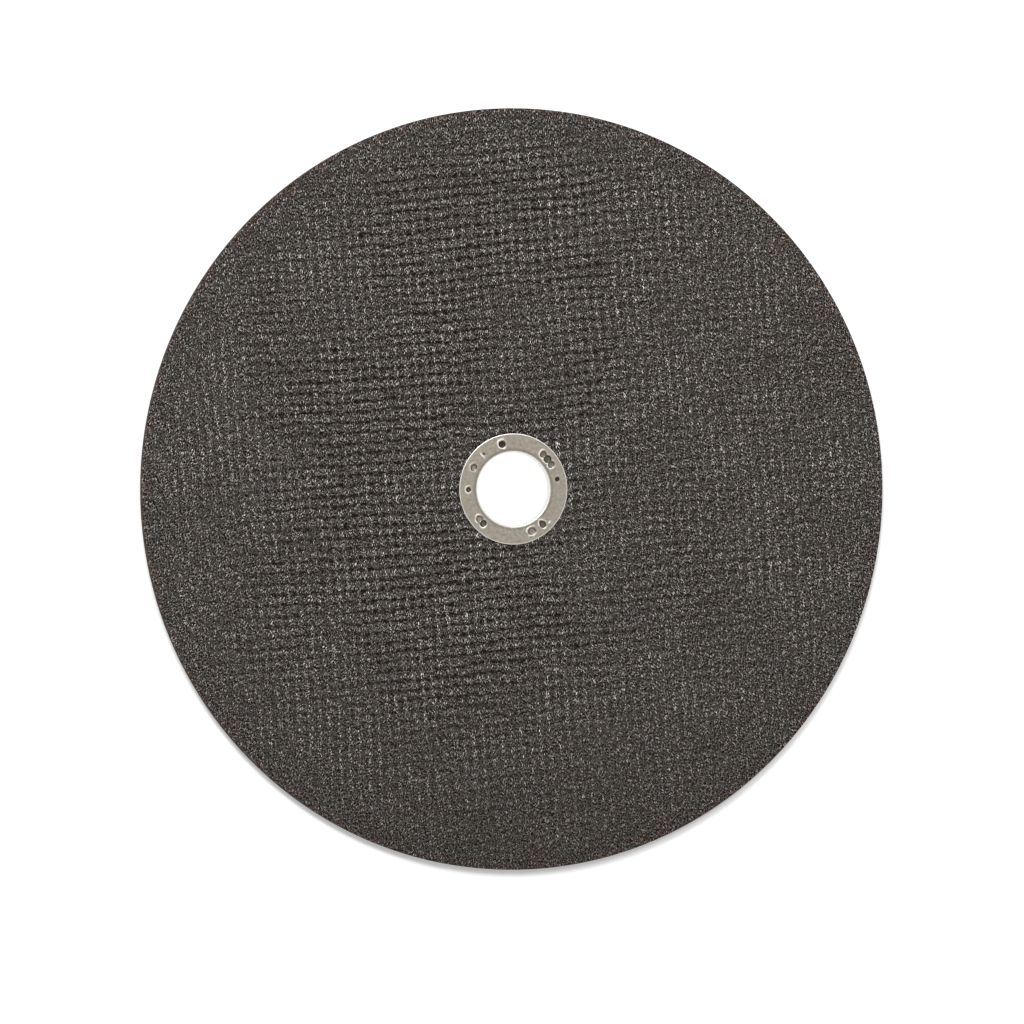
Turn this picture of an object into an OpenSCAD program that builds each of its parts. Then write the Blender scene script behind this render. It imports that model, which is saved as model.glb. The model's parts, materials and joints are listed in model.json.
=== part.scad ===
// Flat cut-off wheel for an angle grinder, lying on its back face with the bore along Z.
// The disc is abrasive grain and resin, moulded in one piece over two open glass-fibre meshes
// whose threads print through both faces as ridges. A pressed sheet ring lines the bore: its
// flange seats in a recess of the front face, and its collar reaches down into the hole.
// The origin is on the bore axis, in the plane of the back face.

/* [Abrasive disc] */
// Outer diameter of the disc
disc_d = 230; // [120:1:400]
// Thickness of the disc over the ridges of both faces
disc_t = 2.5; // [1.8:0.1:5]
// Width of the band along the rim in which the ridges run out
rim_band_w = 4; // [1:0.5:12]
// How far each face falls away across that band
rim_fall = 0.15; // [0.02:0.01:0.3]

/* [Mesh imprint] */
// Width of the flat crest over a thread
crest_w = 1.5; // [0.6:0.05:3]
// Width of the slope between a crest and a groove
flank_w = 0.4; // [0.1:0.05:1]
// Width of the flat floor of a groove
groove_w = 0.85; // [0.3:0.05:3]
// Depth of the grooves below the crests
groove_depth = 0.18; // [0.05:0.01:0.4]
// Direction of the threads on the front face, counted from +X
front_mesh_angle = 4.5; // [-45:0.5:45]
// Direction of the threads on the back face, counted from +X
back_mesh_angle = -8; // [-45:0.5:45]

/* [Centre ring] */
// Diameter of the bore inside the collar
bore_d = 22.23; // [15:0.01:26]
// Outer diameter of the flange
ring_d = 33.5; // [31:0.5:60]
// Thickness of the sheet that the ring is pressed from
sheet_t = 0.5; // [0.4:0.05:0.8]
// Inner radius of the bend from the flange into the collar
bend_r = 0.3; // [0.1:0.05:0.6]
// Rounding of the flange's upper outer edge
edge_r = 0.15; // [0.05:0.01:0.3]
// Height of the flange above the crests of the front face
flange_proud = 0.15; // [0.02:0.01:0.3]
// How far the collar ends short of the back face
collar_inset = 0.2; // [0:0.05:0.6]
// Clearance between the ring and the disc, around the collar and the flange
ring_gap = 0.05; // [0.02:0.01:0.2]

/* [Punch marks] */
// Diameter of the large round marks
large_mark_d = 2.5; // [1.6:0.1:3]
// Diameter of the medium round marks
medium_mark_d = 2; // [1:0.1:3]
// Diameter of the small round marks
small_mark_d = 1.3; // [0.6:0.1:3]
// Length of the narrow mark, along the flange's radius
slot_mark_len = 1.9; // [0.8:0.1:3]
// Width of the narrow mark
slot_mark_w = 0.8; // [0.3:0.1:2]
// Depth of every mark
mark_depth = 0.28; // [0.05:0.01:0.35]
// How far a round mark's wall leans in from its mouth to its floor
mark_lean = 0.22; // [0.05:0.01:0.25]

/* [Hidden] */
$fn = 144;

disc_r = disc_d / 2;
thread_pitch = crest_w + 2 * flank_w + groove_w;

bore_r = bore_d / 2;
ring_r = ring_d / 2;
flange_top = disc_t + flange_proud;
flange_seat = flange_top - sheet_t;
collar_r = bore_r + sheet_t;
bend_outer_r = bend_r + sheet_t;
// Centre of the bend in the ring's section
bend_x = bore_r + bend_outer_r;
bend_z = flange_top - bend_outer_r;

hole_r = collar_r + ring_gap;
recess_r = ring_r + ring_gap;
hole_chamfer = bend_r + ring_gap;

// How far a cutting or clipping shape reaches past what it shapes
reach = 1;

// The marks lie on the circle half-way between the bore and the flange's edge
mark_circle_r = (bore_r + ring_r) / 2;
SMALL_MARKS = [12];
MEDIUM_MARKS = [32, 49, 104, 151, 181, 221, 229];
LARGE_MARKS = [41, 294, 310];
SLOT_MARKS = [131];

// Half of the disc's section through the axis, with the rim's fall and the ring's seat
module disc_section() {
    polygon([
        [hole_r, 0],
        [disc_r - rim_band_w, 0],
        [disc_r, rim_fall],
        [disc_r, disc_t - rim_fall],
        [disc_r - rim_band_w, disc_t],
        [recess_r, disc_t],
        [recess_r, flange_seat],
        [hole_r + hole_chamfer, flange_seat],
        [hole_r, flange_seat - hole_chamfer]
    ]);
}

// Section across the threads: a plate with one ridge per thread on its upper side
module ridged_section() {
    last = ceil(disc_r / thread_pitch) + 1;
    half_crest = crest_w / 2;
    half_foot = half_crest + flank_w;
    floor_z = disc_t - groove_depth;
    ridges = [
        for (i = [-last : last])
            each [
                [i * thread_pitch - half_foot, floor_z],
                [i * thread_pitch - half_crest, disc_t],
                [i * thread_pitch + half_crest, disc_t],
                [i * thread_pitch + half_foot, floor_z]
            ]
    ];
    end_y = last * thread_pitch + half_foot;
    polygon(concat([[end_y, -reach], [-end_y, -reach]], ridges));
}

// Ridged plate, larger than the disc, with its threads at an angle to +X
module ridged_plate(angle) {
    length = disc_d + 2 * reach;
    rotate([90, 0, 90 + angle])
        translate([0, 0, -length / 2])
            linear_extrude(length)
                ridged_section();
}

module abrasive_disc() {
    color([0.3, 0.285, 0.27])
    intersection() {
        rotate_extrude()
            disc_section();
        ridged_plate(front_mesh_angle);
        translate([0, 0, disc_t])
            mirror([0, 0, 1])
                ridged_plate(back_mesh_angle);
    }
}

// Quarter of a round, open towards +X and +Z of a section
module quarter(outer_r, inner_r) {
    intersection() {
        difference() {
            circle(outer_r);
            if (inner_r > 0) {
                circle(inner_r);
            }
        }
        square(outer_r);
    }
}

// Half of the ring's section through the axis: flange, bend and collar
module ring_section() {
    translate([bend_x, flange_seat])
        square([ring_r - bend_x, sheet_t - edge_r]);
    translate([bend_x, flange_top - edge_r])
        square([ring_r - edge_r - bend_x, edge_r]);
    translate([ring_r - edge_r, flange_top - edge_r])
        quarter(edge_r, 0);
    translate([bend_x, bend_z])
        mirror([1, 0])
            quarter(bend_outer_r, bend_r);
    translate([bore_r, collar_inset])
        square([sheet_t, bend_z - collar_inset]);
}

// Moves a mark to its place on the flange, with its floor at z = 0
module on_flange(angle) {
    rotate([0, 0, angle])
        translate([mark_circle_r, 0, flange_top - mark_depth])
            children();
}

// Round pit whose wall keeps its slope past the mouth
module round_mark(d) {
    over = 0.5;
    slope = mark_lean / mark_depth;
    cylinder(h = mark_depth + over, r1 = d / 2 - mark_lean, r2 = d / 2 + slope * over);
}

module slot_mark() {
    over = 0.5;
    translate([-slot_mark_len / 2, -slot_mark_w / 2, 0])
        cube([slot_mark_len, slot_mark_w, mark_depth + over]);
}

module centre_ring() {
    color([0.62, 0.59, 0.54])
    difference() {
        rotate_extrude()
            ring_section();
        for (angle = SMALL_MARKS) {
            on_flange(angle) round_mark(small_mark_d);
        }
        for (angle = MEDIUM_MARKS) {
            on_flange(angle) round_mark(medium_mark_d);
        }
        for (angle = LARGE_MARKS) {
            on_flange(angle) round_mark(large_mark_d);
        }
        for (angle = SLOT_MARKS) {
            on_flange(angle) slot_mark();
        }
    }
}

abrasive_disc();
centre_ring();
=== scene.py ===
import json
import math

import bpy
import numpy as np
from mathutils import Matrix, Vector
from mathutils.geometry import delaunay_2d_cdt


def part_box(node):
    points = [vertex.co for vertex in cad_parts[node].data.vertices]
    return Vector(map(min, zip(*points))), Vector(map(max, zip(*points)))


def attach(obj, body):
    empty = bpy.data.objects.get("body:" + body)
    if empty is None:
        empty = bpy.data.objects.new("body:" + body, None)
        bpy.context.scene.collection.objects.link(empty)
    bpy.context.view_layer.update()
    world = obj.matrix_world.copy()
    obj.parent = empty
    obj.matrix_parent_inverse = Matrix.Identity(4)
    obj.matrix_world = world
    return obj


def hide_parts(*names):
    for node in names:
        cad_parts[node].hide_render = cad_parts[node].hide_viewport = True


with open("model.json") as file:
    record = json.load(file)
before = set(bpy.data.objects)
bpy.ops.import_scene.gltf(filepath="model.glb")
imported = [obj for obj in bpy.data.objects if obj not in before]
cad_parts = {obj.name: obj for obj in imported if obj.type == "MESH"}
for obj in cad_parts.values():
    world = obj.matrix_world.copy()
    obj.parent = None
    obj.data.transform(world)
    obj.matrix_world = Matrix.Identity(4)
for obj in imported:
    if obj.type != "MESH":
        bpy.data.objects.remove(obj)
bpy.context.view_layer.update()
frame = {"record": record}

# A cut-off wheel that lies on a white floor, seen from above. The abrasive disc and the metal ring in its
# bore are built anew around the sizes of the solids, with finer relief, and replace them.

# Sizes taken from the frame, in metres
MM = 0.001
disc_lo, disc_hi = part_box("abrasive_disc")
ring_lo, ring_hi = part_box("centre_ring")
mounts = {m["name"]: m for m in frame["record"]["mounts"]}

DISC_R = min(disc_hi.x, disc_hi.y)
DISC_TOP = disc_hi.z
RING_R = ring_hi.x
RING_TOP = ring_hi.z
COLLAR_END = ring_lo.z
BORE_R = mounts["arbor_bore"]["dims"]["r_mm"] * MM

# Sizes of the ring and of its seat, as the solids have them
SHEET_T = 0.5 * MM
BEND_R = 0.3 * MM
EDGE_R = 0.15 * MM
RING_GAP = 0.05 * MM
FLANGE_SEAT = RING_TOP - SHEET_T
HOLE_R = BORE_R + SHEET_T + RING_GAP
RECESS_R = RING_R + RING_GAP
HOLE_CHAMFER = BEND_R + RING_GAP

# The mesh imprint: rows of wide threads along X, and narrow threads across them
ROW_PITCH = 3.15 * MM
CROSS_PITCH = 2.99 * MM
PITCH = np.array([CROSS_PITCH, ROW_PITCH])
GROOVE_DEPTH = 0.32 * MM
DIP_DEPTH = 0.12 * MM
FRONT_ANGLE = math.radians(4.5)
BACK_ANGLE = math.radians(-8)
RIM_BAND = 4 * MM
RIM_FALL = 0.15 * MM

# Where the points of a face lie within one pitch of the mesh: on a thread, at its edges and in the gap
FRONT_ROW_STEPS = (-0.32, 0.0, 0.32, 0.5)
FRONT_CROSS_STEPS = (-0.2, 0.0, 0.2, 0.5)
BACK_STEPS = (0.0, 0.5)

# The grain: points of the faces moved aside, raised and sunk at random, and points of the rim moved inwards
LOOSEN = 0.13 * MM
GRAIN_HEIGHT = 0.03 * MM
GRAIN_LIMIT = 0.06 * MM
RIM_LOOSEN = 0.04 * MM

# How far the painted highlights on the grain lean from upright, as the light draws them: at the lower left,
# in the middle and at the right
LOW_LEFT_LEAN = math.radians(-30)
MIDDLE_LEAN = math.radians(2)
RIGHT_LEAN = math.radians(33)

# How many points go round the rim and the hole of the disc, and round the ring and its section's curves
RIM_STEPS = 900
HOLE_STEPS = 160
RING_STEPS = 720
FLANGE_STEPS = 40
BEND_STEPS = 8
EDGE_STEPS = 4

# Seeds of the random draws and of the smooth random fields
DISC_SEED = 20
FRONT_SEED = 100
BACK_SEED = 200
WIDE_PATCH_SEED = 11
CROSS_PATCH_SEED = 12
SMALL_PATCH_SEED = 13
MARK_EDGE_SEED = 31
LIP_SHINE_SEED = 32

# Colours, in linear light. A tint multiplies the level of the grain, and a lift is added to it.
GREY_TINT = (1.05, 1.0, 0.955)
GREY_LIFT = (0.005, 0.002, 0.0)
BROWN_TINT = (1.12, 0.96, 0.89)
BROWN_LIFT = (0.01, 0.003, 0.001)
SIDE_DARK = (0.03, 0.022, 0.018)
SIDE_LIGHT = (0.11, 0.074, 0.058)
SHEET_DARK = (0.2, 0.178, 0.146)
SHEET_LIGHT = (0.325, 0.294, 0.247)
# The painted highlight of the ring, and the painted shade in its marks and beside its bend
HIGHLIGHT_COLOUR = (0.88, 0.86, 0.82)
SHADE_COLOUR = (0.035, 0.03, 0.025)
BLACK = (0.0, 0.0, 0.0)

# Levels of the resin bond: in its pits, which is painted shade, between them, and the share left by the
# painted shade around the brightest flecks
PIT_LEVEL = 0.003
BOND_LEVEL = 0.061
FLECK_SHADE_SHARE = 0.15

# The photograph's frame. The lens is long, because the photograph shows hardly any perspective, but short
# enough for the depth at which other views are cut off.
PHOTO_SIZE = 1024
PIXELS_PER_METRE = 3311
DISC_CENTRE_PX = (512.4, 489.0)
VIEW_TILT = math.radians(13.4)
VIEW_LEAN = math.radians(1.2)
LENS_MM = 1000
SENSOR_MM = 36

# The floor's own colour, the share of white that the camera sees in its shadow too, half its width, and
# how far it lies below the wheel
FLOOR_COLOUR = (0.88, 0.88, 0.88)
FLOOR_GLOW = 0.22
FLOOR_HALF = 20
FLOOR_DROP = 0.01 * MM

# How brightly the world lights the object
WORLD_LIGHT = 0.45


# Helpers

def new_object(name, data):
    obj = bpy.data.objects.new(name, data)
    bpy.context.scene.collection.objects.link(obj)
    return obj


def smooth_noise(x, y, cell, seed):
    """Smooth random field between -1 and 1, with features about one cell across."""
    rng = np.random.default_rng(seed)
    side = 256
    lattice = rng.uniform(-1, 1, (side, side))
    gx, gy = x / cell, y / cell
    ix, iy = np.floor(gx).astype(int), np.floor(gy).astype(int)
    fx, fy = gx - ix, gy - iy
    wx, wy = fx * fx * (3 - 2 * fx), fy * fy * (3 - 2 * fy)
    x0, x1, y0, y1 = ix % side, (ix + 1) % side, iy % side, (iy + 1) % side
    low = lattice[y0, x0] * (1 - wx) + lattice[y0, x1] * wx
    high = lattice[y1, x0] * (1 - wx) + lattice[y1, x1] * wx
    return low * (1 - wy) + high * wy


def smooth_step(edge0, edge1, x):
    t = np.clip((x - edge0) / (edge1 - edge0), 0, 1)
    return t * t * (3 - 2 * t)


def circle_points(count, radius):
    a = np.arange(count) * (2 * math.pi / count)
    return np.column_stack([radius * np.cos(a), radius * np.sin(a)])


# The abrasive disc

def gap(place, thread_edge, gap_edge):
    """0 on the threads at every whole pitch, 1 in the gaps between them."""
    off = np.abs((place + 0.5) % 1 - 0.5)
    return smooth_step(thread_edge, gap_edge, off)


def mesh_turn(angle):
    return np.array([[math.cos(angle), -math.sin(angle)], [math.sin(angle), math.cos(angle)]])


def pushed(xy, seed):
    """How far the pressed mesh has moved out of line, along and across its rows: slow drifts and wobbles."""
    x, y = xy[:, 0], xy[:, 1]
    along = 0.8 * MM * smooth_noise(x, y, 34 * MM, seed)
    along += 0.35 * MM * smooth_noise(x, y, 9 * MM, seed + 3)
    across = 0.9 * MM * smooth_noise(x, y, 38 * MM, seed + 1)
    across += 0.42 * MM * smooth_noise(x, y, 9 * MM, seed + 2)
    return np.column_stack([along, across])


def mesh_place(xy, angle, seed):
    """Places along and across the rows of the mesh, counted in pitches."""
    return (xy @ mesh_turn(angle) + pushed(xy, seed)) / PITCH


def mesh_point(place, angle, seed):
    """The point of a face at a place of the mesh, closed in on in a few rounds."""
    straight = place * PITCH
    back = mesh_turn(angle).T
    xy = straight @ back
    for _ in range(4):
        xy = (straight - pushed(xy, seed)) @ back
    return xy


def rim_fade(xy):
    """1 over most of a face, falling towards the rim."""
    return 1 - smooth_step(95 * MM, 114 * MM, np.hypot(xy[:, 0], xy[:, 1]))


def row_print(xy):
    """How clearly the rows print through: a broad bent band, weak at the right, the bottom and the rim."""
    x, y = xy[:, 0], xy[:, 1]
    band = np.exp(-(((x + 30 * MM - 0.25 * np.abs(y)) / (50 * MM)) ** 2))
    low = 0.3 + 0.7 * smooth_step(-88 * MM, -50 * MM, y - 0.35 * np.maximum(x, 0))
    left = 0.25 + 0.75 * smooth_step(-98 * MM, -74 * MM, x)
    wide_patch = 0.3 * smooth_noise(x, y, 26 * MM, WIDE_PATCH_SEED)
    small_patch = 0.35 * smooth_noise(x, y, 11 * MM, SMALL_PATCH_SEED)
    patch = 0.95 + wide_patch + small_patch
    return np.clip((0.42 + 0.74 * band) * low * left * patch, 0, 1) * (0.2 + 0.8 * rim_fade(xy))


def cross_print(xy):
    """How clearly the threads across the rows print through: nearly all over."""
    patch = 0.6 + 0.45 * smooth_noise(xy[:, 0], xy[:, 1], 13 * MM, CROSS_PATCH_SEED)
    return patch * (0.3 + 0.7 * rim_fade(xy))


def imprint(place, rows, crossing):
    """Depth of a face below the crests of the mesh."""
    row_gap = gap(place[:, 1], 0.3, 0.46)
    cross_gap = gap(place[:, 0], 0.18, 0.42)
    groove = GROOVE_DEPTH * rows * row_gap * (0.4 + 0.6 * cross_gap)
    dip = DIP_DEPTH * crossing * cross_gap
    return np.maximum(groove, dip)


def rim_fall(xy):
    """How far a face falls away in the band along the rim."""
    r = np.hypot(xy[:, 0], xy[:, 1])
    return RIM_FALL * np.clip((r - (DISC_R - RIM_BAND)) / RIM_BAND, 0, 1)


def woven_points(cross_steps, row_steps, angle, seed, r_inner, rng):
    """Points over an annulus that follow the threads of the mesh."""
    reach = math.ceil(DISC_R / PITCH.min()) + 2
    whole = np.arange(-reach, reach + 1)[:, None]
    along = (whole + np.array(cross_steps)).ravel()
    across = (whole + np.array(row_steps)).ravel()
    place = np.stack(np.meshgrid(along, across), axis=-1).reshape(-1, 2)
    xy = mesh_point(place, angle, seed)
    xy = xy + rng.uniform(-LOOSEN, LOOSEN, xy.shape)
    r = np.hypot(xy[:, 0], xy[:, 1])
    margin = 0.4 * MM
    return xy[(r > r_inner + margin) & (r < DISC_R - margin)]


def annulus(points, inner_r):
    """Triangulates points between the rim and a hole. The rim's points come first, then the hole's."""
    rings = np.vstack([circle_points(RIM_STEPS, DISC_R), circle_points(HOLE_STEPS, inner_r)])
    xy = np.vstack([rings, points])
    loops = [(i, (i + 1) % RIM_STEPS) for i in range(RIM_STEPS)]
    loops += [(RIM_STEPS + i, RIM_STEPS + (i + 1) % HOLE_STEPS) for i in range(HOLE_STEPS)]
    whole_hull, same_point = 0, 1e-6
    points_mm = [Vector(p) for p in xy / MM]
    _, _, made, made_from, _, _ = delaunay_2d_cdt(points_mm, loops, [], whole_hull, same_point)
    source = np.array([numbers[0] for numbers in made_from])
    triangles = source[np.array(made)]
    centre = xy[triangles].mean(axis=1)
    outside_hole = np.hypot(centre[:, 0], centre[:, 1]) > inner_r * math.cos(math.pi / HOLE_STEPS)
    triangles = triangles[outside_hole]
    a, b, c = (xy[triangles[:, k]] for k in range(3))
    ab, ac = b - a, c - a
    clockwise = ab[:, 0] * ac[:, 1] - ab[:, 1] * ac[:, 0] < 0
    triangles[clockwise] = triangles[clockwise][:, ::-1]
    return xy, triangles


def strip(upper, lower):
    """Quads between two closed loops of vertex numbers, facing away from the axis."""
    upper_next, lower_next = np.roll(upper, -1), np.roll(lower, -1)
    return np.column_stack([upper, lower, lower_next, upper_next]).tolist()


def face_points(cross_steps, row_steps, angle, seed, inner_r, rng):
    """One face of the disc: its points, triangles, depths below the crests and mesh values."""
    xy, triangles = annulus(woven_points(cross_steps, row_steps, angle, seed, inner_r, rng), inner_r)
    place = mesh_place(xy, angle, seed)
    rows, crossing = row_print(xy), cross_print(xy)
    grain = np.clip(rng.normal(0, GRAIN_HEIGHT, len(xy)), -GRAIN_LIMIT, GRAIN_LIMIT)
    depth = rim_fall(xy) + imprint(place, rows, crossing) + GRAIN_LIMIT + grain
    return xy, triangles, depth, np.column_stack([place, rows, crossing])


def build_disc():
    """The disc as one closed mesh: two woven faces, the rim, the hole and the seat of the ring."""
    rng = np.random.default_rng(DISC_SEED)
    front_xy, front_tri, front_depth, front_mesh = face_points(
        FRONT_CROSS_STEPS, FRONT_ROW_STEPS, FRONT_ANGLE, FRONT_SEED, RECESS_R, rng
    )
    back_xy, back_tri, back_depth, back_mesh = face_points(
        BACK_STEPS, BACK_STEPS, BACK_ANGLE, BACK_SEED, HOLE_R, rng
    )
    # The crests of the back lie in the plane that the wheel rests on
    back_depth[back_depth < 1.5 * GRAIN_LIMIT] = 0
    blocks = [np.column_stack([front_xy, DISC_TOP - front_depth]), np.column_stack([back_xy, back_depth])]
    mesh_values = [front_mesh, back_mesh]

    def add_ring(count, radius, z, loosen):
        ring = circle_points(count, 1) * (radius - loosen * rng.uniform(0, 1, count))[:, None]
        start = sum(len(block) for block in blocks)
        blocks.append(np.column_stack([ring, np.full(count, z)]))
        mesh_values.append(np.zeros((count, 4)))
        return np.arange(start, start + count)

    front_rim = np.arange(RIM_STEPS)
    front_hole = RIM_STEPS + np.arange(HOLE_STEPS)
    back_rim = len(front_xy) + front_rim
    back_hole = len(front_xy) + front_hole
    rim_loops = [front_rim]
    for share in (0.75, 0.5, 0.25):
        rim_loops.append(add_ring(RIM_STEPS, DISC_R, DISC_TOP * share, RIM_LOOSEN))
    rim_loops.append(back_rim)
    hole_loops = [
        front_hole,
        add_ring(HOLE_STEPS, RECESS_R, FLANGE_SEAT, 0),
        add_ring(HOLE_STEPS, HOLE_R + HOLE_CHAMFER, FLANGE_SEAT, 0),
        add_ring(HOLE_STEPS, HOLE_R, FLANGE_SEAT - HOLE_CHAMFER, 0),
        back_hole,
    ]

    sides = []
    for upper, lower in zip(rim_loops, rim_loops[1:]):
        sides += strip(upper, lower)
    walls = []
    for upper, lower in zip(hole_loops, hole_loops[1:]):
        walls += [face[::-1] for face in strip(upper, lower)]
    flats = front_tri.tolist() + (back_tri[:, ::-1] + len(front_xy)).tolist()

    mesh = bpy.data.meshes.new("disc")
    mesh.from_pydata(np.vstack(blocks).tolist(), [], sides + walls + flats)
    for name, values in zip(("along", "across", "rows", "crossing"), np.vstack(mesh_values).T):
        mesh.attributes.new(name, "FLOAT", "POINT").data.foreach_set("value", values)
    on_side = np.arange(len(mesh.polygons)) < len(sides)
    mesh.attributes.new("side", "FLOAT", "FACE").data.foreach_set("value", on_side.astype(float))
    return new_object("disc", mesh)


# The centre ring

# Each mark: angle in degrees, half-length along the flange and half-width across it in millimetres,
# depth in millimetres, how dark the painted shade on its wall and its floor is, and how far its lip is raised
PUNCH_MARKS = np.array([
    (104.5, 1.15, 1.15, 0.34, 1.0, 1.0, 1.0),
    (131, 0.45, 0.55, 0.2, 0.7, 0.7, 0.1),
    (152, 1.05, 1.0, 0.24, 1.0, 0.35, 0.4),
    (181, 0.85, 0.8, 0.28, 1.0, 0.85, 0.8),
    (221, 1.1, 1.05, 0.24, 0.7, 0.25, 0.9),
    (228, 1.05, 1.05, 0.32, 1.0, 0.8, 0.9),
    (294.5, 1.3, 1.15, 0.24, 0.7, 0.3, 0.8),
    (310.5, 1.0, 1.2, 0.3, 1.0, 0.75, 1.0),
    (12, 0.72, 0.72, 0.34, 1.0, 1.0, 0.1),
    (32, 1.05, 1.1, 0.26, 0.8, 0.5, 0.9),
    (40, 1.25, 1.2, 0.34, 1.0, 0.75, 0.9),
    (48.5, 1.0, 1.05, 0.26, 0.8, 0.55, 0.9),
])
# Each painted highlight line, drawn like a bright scratch: angle in degrees, then its radius and its
# half-sizes along the flange and across it in millimetres
HIGHLIGHT_LINES = [
    (133.5, 14.0, 0.22, 1.0),
    (318, 15.0, 0.6, 0.22),
]
# The side of the marks on which the painted highlight of their lips is brightest
HIGHLIT_SIDE = math.radians(215)
MARK_CIRCLE_R = (BORE_R + RING_R) / 2
LIP_HEIGHT = 0.08 * MM
LIP_WIDTH = 0.24 * MM


def around(x, y, degrees, radius):
    """Offsets along and across the flange from a place on it."""
    turn = (np.arctan2(y, x) - math.radians(degrees) + math.pi) % (2 * math.pi) - math.pi
    return turn * radius, np.hypot(x, y) - radius


def punched(x, y):
    """Height change, painted shade and painted highlight of the punch marks over the flange. Marks that meet
    share one lip.
    """
    off = np.full_like(x, np.inf)
    heading = np.zeros_like(x)
    nearest = np.zeros(x.shape, int)
    for number, (degrees, half_len, half_wid) in enumerate(PUNCH_MARKS[:, :3]):
        along, across = around(x, y, degrees, MARK_CIRCLE_R)
        mark_off = np.hypot(along / (half_len * MM), across / (half_wid * MM))
        nearer = mark_off < off
        off[nearer] = mark_off[nearer]
        heading[nearer] = (math.radians(degrees) + np.arctan2(along, across))[nearer]
        nearest[nearer] = number
    _, half_len, half_wid, depth, wall, floor, raised = np.moveaxis(PUNCH_MARKS[nearest], -1, 0)

    off = off * (1 + 0.12 * smooth_noise(x, y, 0.8 * MM, MARK_EDGE_SEED))
    outside = (off - 1) * (half_len + half_wid) / 2 * MM
    pit = depth * MM * (1 - smooth_step(0.6, 1.0, off))
    lip = raised * np.exp(-(((outside - LIP_WIDTH) / LIP_WIDTH) ** 2)) * (1 - smooth_step(0, 0.05 * MM, pit))
    # Painted shade on the walls and floors of the marks
    painted_shade = wall * np.exp(-(((off - 0.85) / 0.16) ** 2)) + floor * (1 - smooth_step(0.6, 0.85, off))
    # Painted highlight on the lips, broken into patches and brightest on one side, then along the highlight
    # lines
    highlit = np.clip(0.8 + 0.7 * smooth_noise(x, y, 0.9 * MM, LIP_SHINE_SEED), 0, 1)
    shine = lip * highlit * (0.55 + 0.45 * np.cos(heading - HIGHLIT_SIDE))
    for degrees, radius, half_len, half_wid in HIGHLIGHT_LINES:
        along, across = around(x, y, degrees, radius * MM)
        line = np.exp(-((along / (half_len * MM)) ** 2) - (across / (half_wid * MM)) ** 2)
        shine = np.maximum(shine, line)
    return LIP_HEIGHT * (lip - 1) - pit, np.minimum(painted_shade, 1), shine


def arc(cx, cz, radius, start_deg, end_deg, steps):
    """Points of an arc in the ring's section."""
    a = np.radians(np.linspace(start_deg, end_deg, steps + 1))
    return [(cx + radius * math.cos(t), cz + radius * math.sin(t)) for t in a]


def build_ring():
    """The ring as one turned mesh: collar, bend and flange, with the punch marks pressed into its top."""
    outer_bend = BEND_R + SHEET_T
    bend_x, bend_z = BORE_R + outer_bend, RING_TOP - outer_bend
    flange_end = RING_R - EDGE_R
    section = [(BORE_R, COLLAR_END), (BORE_R, (COLLAR_END + bend_z) / 2)]
    section += arc(bend_x, bend_z, outer_bend, 180, 90, BEND_STEPS)
    section += [
        (bend_x + (flange_end - bend_x) * i / FLANGE_STEPS, RING_TOP) for i in range(1, FLANGE_STEPS)
    ]
    section += arc(flange_end, RING_TOP - EDGE_R, EDGE_R, 90, 0, EDGE_STEPS)
    section += [(RING_R, FLANGE_SEAT)]
    section += [(bend_x + (RING_R - bend_x) / 2, FLANGE_SEAT)]
    section += arc(bend_x, bend_z, BEND_R, 90, 180, EDGE_STEPS)
    section += [(bend_x - BEND_R, (COLLAR_END + bend_z) / 2), (bend_x - BEND_R, COLLAR_END)]
    section = np.array(section)

    turn = circle_points(RING_STEPS, 1)
    xy = section[:, None, 0:1] * turn[None]
    z = np.repeat(section[:, 1:2], RING_STEPS, axis=1)
    relief, painted_shade, shine = punched(xy[..., 0], xy[..., 1])
    on_top = (section[:, 1] > RING_TOP - EDGE_R) & (section[:, 0] > bend_x - outer_bend / 2)
    share = np.where(on_top, smooth_step(RING_TOP - EDGE_R, RING_TOP, section[:, 1]), 0)[:, None]
    z = z + relief * share
    verts = np.concatenate([xy, z[..., None]], axis=2).reshape(-1, 3)

    count = len(section)
    index = np.arange(count * RING_STEPS).reshape(count, RING_STEPS)
    faces = []
    for i in range(count):
        faces += strip(index[(i + 1) % count], index[i])
    mesh = bpy.data.meshes.new("ring")
    mesh.from_pydata(verts.tolist(), [], faces)
    mesh.validate()

    # Painted highlights at the bend, the edge and the lips, and painted shade in the marks and beside the
    # bend
    at_bend = 1 - smooth_step(BORE_R + 0.2 * MM, BORE_R + 0.55 * MM, section[:, 0])
    at_edge = smooth_step(RING_R - 0.3 * MM, RING_R - 0.1 * MM, section[:, 0])
    painted_highlight = np.maximum(0.85 * shine * share, np.maximum(at_bend, 0.65 * at_edge)[:, None])
    # Painted shade in a band beside the bend
    beside_bend = 0.3 * np.exp(-(((section[:, 0] - BORE_R - 0.9 * MM) / (0.35 * MM)) ** 2))
    painted_shade = np.maximum(painted_shade * (1 - shine) * share, beside_bend[:, None])
    for name, values in (("painted_shade", painted_shade), ("painted_highlight", painted_highlight)):
        mesh.attributes.new(name, "FLOAT", "POINT").data.foreach_set("value", values.ravel())
    mesh.polygons.foreach_set("use_smooth", np.ones(len(mesh.polygons), bool))
    mesh.set_sharp_from_angle(angle=math.radians(50))
    return new_object("ring", mesh)


# Materials

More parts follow.
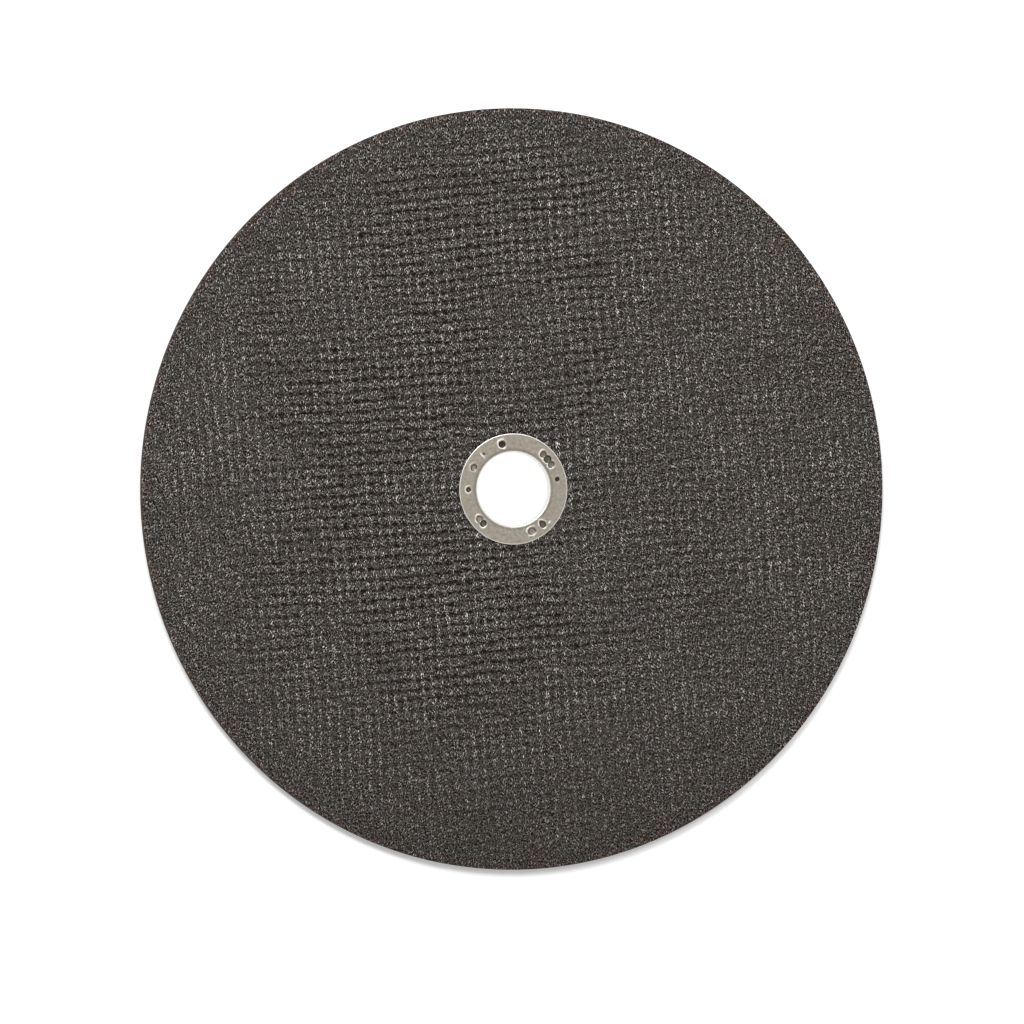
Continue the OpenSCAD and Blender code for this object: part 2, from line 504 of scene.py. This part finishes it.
class Shader:
    """A node material around one Principled shader, with short calls to add nodes and links."""

    def __init__(self, name):
        self.material = bpy.data.materials.new(name)
        self.material.use_nodes = True
        self.tree = self.material.node_tree
        self.principled = self.tree.nodes["Principled BSDF"]

    def node(self, kind, **values):
        made = self.tree.nodes.new(kind)
        for key, value in values.items():
            setattr(made, key, value)
        return made

    def link(self, source, target):
        self.tree.links.new(source, target)

    def set(self, name, value):
        self.principled.inputs[name].default_value = value

    def attribute(self, name):
        return self.node("ShaderNodeAttribute", attribute_name=name).outputs["Fac"]

    def position(self):
        return self.node("ShaderNodeTexCoord").outputs["Object"]

    def radius(self):
        """Distance from the axis."""
        flat = self.node("ShaderNodeVectorMath", operation="MULTIPLY")
        flat.inputs[1].default_value = (1, 1, 0)
        self.link(self.position(), flat.inputs[0])
        length = self.node("ShaderNodeVectorMath", operation="LENGTH")
        self.link(flat.outputs[0], length.inputs[0])
        return length.outputs["Value"]

    def in_plane(self):
        """Places along X and Y."""
        parts = self.node("ShaderNodeSeparateXYZ")
        self.link(self.position(), parts.inputs[0])
        return parts.outputs["X"], parts.outputs["Y"]

    def noise(self, cell, detail=2.0, roughness=0.5):
        made = self.node("ShaderNodeTexNoise")
        made.inputs["Scale"].default_value = 1 / cell
        made.inputs["Detail"].default_value = detail
        made.inputs["Roughness"].default_value = roughness
        self.link(self.position(), made.inputs["Vector"])
        return made.outputs["Fac"]

    def leaning(self, lean):
        """The position, turned so that upright cells lean by that angle, with their feet to the right."""
        made = self.node("ShaderNodeVectorRotate", rotation_type="Z_AXIS")
        made.inputs["Angle"].default_value = -lean
        self.link(self.position(), made.inputs["Vector"])
        return made.outputs[0]

    def cells(self, place, wide, tall):
        """Random flat cells of that size: the distance from a cell's point, and its chance."""
        stretch = self.node("ShaderNodeVectorMath", operation="DIVIDE")
        stretch.inputs[1].default_value = (wide, tall, 1)
        self.link(place, stretch.inputs[0])
        made = self.node("ShaderNodeTexVoronoi", voronoi_dimensions="2D")
        made.inputs["Scale"].default_value = 1
        self.link(stretch.outputs[0], made.inputs["Vector"])
        parts = self.node("ShaderNodeSeparateColor")
        self.link(made.outputs["Color"], parts.inputs[0])
        return made.outputs["Distance"], parts.outputs[0]

    def spots(self, place, size, edge, soft, levels, rarity):
        """Bright spots, one in each cell and the brighter the rarer, and the surround of each, which takes
        painted shade.

        The edge of a spot and the width over which it fades are shares of the cell's size.
        """
        distance, chance = self.cells(place, *size)
        level = self.scale(self.math("POWER", chance, rarity), *levels)
        shape = self.math("SUBTRACT", 1.0, self.smooth(distance, edge, edge + soft))
        surround = self.math("MULTIPLY", self.smooth(distance, edge + soft, edge + 2.5 * soft), chance)
        return self.math("MULTIPLY", shape, level), surround

    def ramp(self, source, stops):
        """Colour ramp with (position, colour) stops."""
        made = self.node("ShaderNodeValToRGB")
        elements = made.color_ramp.elements
        while len(elements) < len(stops):
            elements.new(0.5)
        for element, (position, colour) in zip(elements, stops):
            element.position = position
            element.color = (*colour, 1)
        self.link(source, made.inputs["Fac"])
        return made.outputs["Color"]

    def mix(self, blend, factor, a, b):
        made = self.node("ShaderNodeMix", data_type="RGBA", blend_type=blend)
        for socket, value in ((made.inputs["Factor"], factor), (made.inputs[6], a), (made.inputs[7], b)):
            if isinstance(value, bpy.types.NodeSocket):
                self.link(value, socket)
            elif isinstance(value, tuple):
                socket.default_value = (*value, 1)
            else:
                socket.default_value = value
        return made.outputs[2]

    def scale(self, source, low, high):
        made = self.node("ShaderNodeMapRange")
        made.inputs["To Min"].default_value = low
        made.inputs["To Max"].default_value = high
        self.link(source, made.inputs["Value"])
        return made.outputs["Result"]

    def math(self, operation, *values):
        made = self.node("ShaderNodeMath", operation=operation)
        for socket, value in zip(made.inputs, values):
            if isinstance(value, bpy.types.NodeSocket):
                self.link(value, socket)
            else:
                socket.default_value = value
        return made.outputs[0]

    def smooth(self, source, low, high):
        """0 below the low value, 1 above the high one, with a soft step between."""
        made = self.node("ShaderNodeMapRange", interpolation_type="SMOOTHSTEP")
        made.inputs["From Min"].default_value = low
        made.inputs["From Max"].default_value = high
        self.link(source, made.inputs["Value"])
        return made.outputs["Result"]

    def bump(self, height, distance, strength):
        made = self.node("ShaderNodeBump")
        made.inputs["Distance"].default_value = distance
        made.inputs["Strength"].default_value = strength
        self.link(height, made.inputs["Height"])
        self.link(made.outputs["Normal"], self.principled.inputs["Normal"])


def grain_highlights(s):
    """Bright flecks and longer strokes: painted highlights on the grain, which lean outwards at the lower
    left and at the right, as the light draws them.

    Gives their level, painted dimmer towards the bottom, and the surround of the flecks, in which the bond is
    darker with painted shade.
    """
    x, y = s.in_plane()
    drift = s.scale(s.noise(9 * MM, 2, 0.6), -40 * MM, 40 * MM)
    x = s.math("ADD", x, drift)
    right = s.smooth(x, 18 * MM, 26 * MM)
    low_left = s.smooth(s.math("MULTIPLY_ADD", y, -0.7, s.math("MULTIPLY", x, -1.0)), 68 * MM, 78 * MM)
    sides = s.math("MAXIMUM", right, low_left)
    zones = (
        (LOW_LEFT_LEAN, low_left),
        (MIDDLE_LEAN, s.math("SUBTRACT", 1.0, sides)),
        (RIGHT_LEAN, right),
    )
    bright = 0.0
    surround = 0.0
    for lean, zone in zones:
        place = s.leaning(lean)
        flecks, around_flecks = s.spots(
            place, (0.33 * MM, 0.94 * MM), edge=0.16, soft=0.08, levels=(0.12, 0.86), rarity=2.7
        )
        strokes, _ = s.spots(
            place, (0.46 * MM, 2.5 * MM), edge=0.12, soft=0.06, levels=(0.0, 0.95), rarity=2.4
        )
        bright = s.math("MAXIMUM", bright, s.math("MULTIPLY", zone, s.math("MAXIMUM", flecks, strokes)))
        surround = s.math("MULTIPLY_ADD", zone, around_flecks, surround)
    # The painted highlights are dimmer towards the bottom
    upper = s.smooth(y, -115 * MM, -35 * MM)
    return s.math("MULTIPLY", bright, s.scale(upper, 0.68, 1.0)), surround


def abrasive_material():
    """Dark resin, grain with painted highlights, the mesh's print with painted shade, and a bare cut side."""
    s = Shader("abrasive")
    along, across = s.attribute("along"), s.attribute("across")
    rows, crossing = s.attribute("rows"), s.attribute("crossing")

    # The mesh again, finer than the points of the faces can follow it, with frayed edges
    along = s.math("ADD", along, s.scale(s.noise(0.8 * MM, 2, 0.6), -0.35, 0.35))
    across = s.math("ADD", across, s.scale(s.noise(2.8 * MM, 1, 0.5), -0.35, 0.35))
    across = s.math("ADD", across, s.scale(s.noise(1.1 * MM, 2, 0.6), -0.25, 0.25))
    off_column = s.math("PINGPONG", along, 0.5)
    off_row = s.math("PINGPONG", across, 0.5)
    cross_gap = s.smooth(off_column, 0.1, 0.4)
    row_gap = s.smooth(off_row, 0.14, 0.42)
    broken = s.scale(s.smooth(s.noise(2.4 * MM, 1, 0.5), 0.36, 0.56), 0.5, 1.0)
    # The dashes are painted shade in the grooves between the rows, broken up along them
    dash = s.math("MULTIPLY", s.smooth(off_row, 0.33, 0.43), s.scale(cross_gap, 0.45, 1.0))
    dash = s.math("MULTIPLY", dash, broken)

    # Resin with painted shade in its pits, and bright grain in it with painted highlights, brightest along
    # the middle of the cross threads
    mottle = s.scale(s.noise(1.1 * MM, 1, 0.5), 0.72, 1.28)
    from_pit, _ = s.cells(s.position(), 0.64 * MM, 0.64 * MM)
    bond = s.math("MULTIPLY", mottle, s.scale(s.smooth(from_pit, 0.3, 0.43), PIT_LEVEL, BOND_LEVEL))
    bright, surround = grain_highlights(s)
    on_thread = s.math("SUBTRACT", 1.0, s.smooth(off_column, 0.05, 0.17))
    bright = s.math("MULTIPLY", bright, s.scale(s.math("MULTIPLY", on_thread, crossing), 0.82, 1.5))
    # Painted shade in the bond around the brightest flecks
    bond = s.math("MULTIPLY", bond, s.scale(surround, 1.0, FLECK_SHADE_SHARE))
    level = s.math("MAXIMUM", bond, bright)

    # Painted shade in the gaps of the mesh, where its grooves lie in shadow, and lighter where its threads
    # print through
    gaps = (
        (row_gap, rows, 0.36),
        (dash, rows, 0.87),
        (cross_gap, crossing, 0.3),
    )
    for between, print_through, share in gaps:
        shade = s.math("MULTIPLY", s.math("MULTIPLY", between, print_through), share)
        level = s.math("MULTIPLY", level, s.math("SUBTRACT", 1.0, shade))
    level = s.math("MULTIPLY", level, s.scale(rows, 0.93, 1.11))
    level = s.math("MULTIPLY", level, s.scale(crossing, 0.94, 1.25))

    # Nearly grey, browner in patches along the rim, and bare on the cut side
    grey = s.mix("ADD", 1.0, s.mix("MULTIPLY", 1.0, level, GREY_TINT), GREY_LIFT)
    brown = s.mix("ADD", 1.0, s.mix("MULTIPLY", 1.0, level, BROWN_TINT), BROWN_LIFT)
    rim = s.smooth(s.radius(), DISC_R - 5 * MM, DISC_R - 0.5 * MM)
    patchy = s.math("ADD", s.noise(3 * MM, 2, 0.6), s.math("MULTIPLY", rim, 0.2))
    tint = s.mix("MIX", s.smooth(patchy, 0.6, 0.8), grey, brown)
    side = s.ramp(s.noise(0.5 * MM, 3, 0.6), [(0.3, SIDE_DARK), (0.7, SIDE_LIGHT)])
    s.link(s.mix("MIX", s.attribute("side"), tint, side), s.principled.inputs["Base Color"])
    s.set("Roughness", 0.65)
    s.set("Specular IOR Level", 0.03)
    s.bump(from_pit, 0.05 * MM, 0.5)
    return s.material


def ring_material():
    """Dull sheet metal, with painted highlights and painted shade where the ring's mesh says so."""
    s = Shader("ring_metal")
    sheet = s.ramp(s.noise(0.9 * MM, 4, 0.7), [(0.3, SHEET_DARK), (0.7, SHEET_LIGHT)])
    highlit = s.mix("MIX", s.attribute("painted_highlight"), sheet, HIGHLIGHT_COLOUR)
    shaded_sheet = s.mix("MIX", s.attribute("painted_shade"), highlit, SHADE_COLOUR)
    s.link(shaded_sheet, s.principled.inputs["Base Color"])
    s.set("Metallic", 1.0)
    s.link(s.scale(s.noise(0.7 * MM, 3, 0.6), 0.3, 0.5), s.principled.inputs["Roughness"])
    s.bump(s.noise(0.35 * MM, 3, 0.6), 0.02 * MM, 0.4)
    return s.material


def floor_material():
    """White where the camera and reflections see it unshaded, with the shadow kept, and glowing fully white
    under the bore, which paints out the shadow there.
    """
    s = Shader("floor")
    s.set("Roughness", 1.0)
    s.set("Specular IOR Level", 0.0)
    s.set("Emission Color", (1, 1, 1, 1))
    rays = s.node("ShaderNodeLightPath")
    seen = s.math("MAXIMUM", rays.outputs["Is Camera Ray"], rays.outputs["Is Glossy Ray"])
    seen = s.math("MAXIMUM", seen, rays.outputs["Is Transmission Ray"])
    outside = s.smooth(s.radius(), BORE_R, RING_R)
    share = s.scale(outside, 1.0, FLOOR_GLOW)
    s.link(s.math("MULTIPLY", seen, share), s.principled.inputs["Emission Strength"])
    s.link(s.mix("MIX", outside, BLACK, FLOOR_COLOUR), s.principled.inputs["Base Color"])
    return s.material


def dress(obj, material):
    """Gives a piece its material and slot, and fixes it to the part's one body."""
    obj.data.materials.append(material)
    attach(obj, "root")


# The stage

def add_floor():
    mesh = bpy.data.meshes.new("floor")
    half = FLOOR_HALF
    corners = [(-half, -half, 0), (half, -half, 0), (half, half, 0), (-half, half, 0)]
    mesh.from_pydata(corners, [], [(0, 1, 2, 3)])
    floor = new_object("floor", mesh)
    floor.location.z = -FLOOR_DROP
    floor.data.materials.append(floor_material())


def add_area_light(name, direction, distance, size, watts):
    """A round lamp that faces the origin."""
    data = bpy.data.lights.new(name, "AREA")
    data.shape = "DISK"
    data.size = size
    data.energy = watts
    lamp = new_object(name, data)
    lamp.location = Vector(direction).normalized() * distance
    lamp.rotation_euler = Vector(direction).to_track_quat("Z", "Y").to_euler()
    lamp.visible_camera = False


def add_world():
    """Plain soft light from all round, white where the camera and reflections see it."""
    world = bpy.data.worlds.new("studio")
    bpy.context.scene.world = world
    world.use_nodes = True
    tree = world.node_tree
    background = tree.nodes["Background"]
    background.inputs["Color"].default_value = (1, 1, 1, 1)
    rays = tree.nodes.new("ShaderNodeLightPath")
    level = tree.nodes.new("ShaderNodeMapRange")
    level.inputs["To Min"].default_value = 1.0
    level.inputs["To Max"].default_value = WORLD_LIGHT
    tree.links.new(rays.outputs["Is Diffuse Ray"], level.inputs["Value"])
    tree.links.new(level.outputs["Result"], background.inputs["Strength"])


def add_camera():
    """Looks down on the wheel from the left, so that the photograph's outline falls on its pixels."""
    back = Vector((
        -math.sin(VIEW_TILT) * math.cos(VIEW_LEAN),
        math.sin(VIEW_TILT) * math.sin(VIEW_LEAN),
        math.cos(VIEW_TILT),
    ))
    right = Vector((0, 1, 0)).cross(back).normalized()
    up = back.cross(right)
    middle = PHOTO_SIZE / 2
    aim = Vector((0, 0, DISC_TOP / 2))
    aim += right * (middle - DISC_CENTRE_PX[0]) / PIXELS_PER_METRE
    aim += up * (DISC_CENTRE_PX[1] - middle) / PIXELS_PER_METRE
    distance = PHOTO_SIZE / PIXELS_PER_METRE * LENS_MM / SENSOR_MM
    data = bpy.data.cameras.new("camera")
    data.lens = LENS_MM
    data.sensor_width = SENSOR_MM
    data.clip_start = 0.1
    data.clip_end = 100
    camera = new_object("camera", data)
    turn = Matrix((right, up, back)).transposed().to_4x4()
    camera.matrix_world = Matrix.Translation(aim + back * distance) @ turn
    bpy.context.scene.camera = camera


add_camera()
add_world()
add_floor()
add_area_light("key", direction=(-0.3, 0.8, 0.9), distance=1.8, size=0.9, watts=26)
add_area_light("fill", direction=(0.2, 0.5, 1.1), distance=1.8, size=0.5, watts=6)

disc = build_disc()
dress(disc, abrasive_material())
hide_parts("abrasive_disc")

ring = build_ring()
dress(ring, ring_material())
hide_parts("centre_ring")

bpy.context.scene.view_settings.view_transform = "Standard"
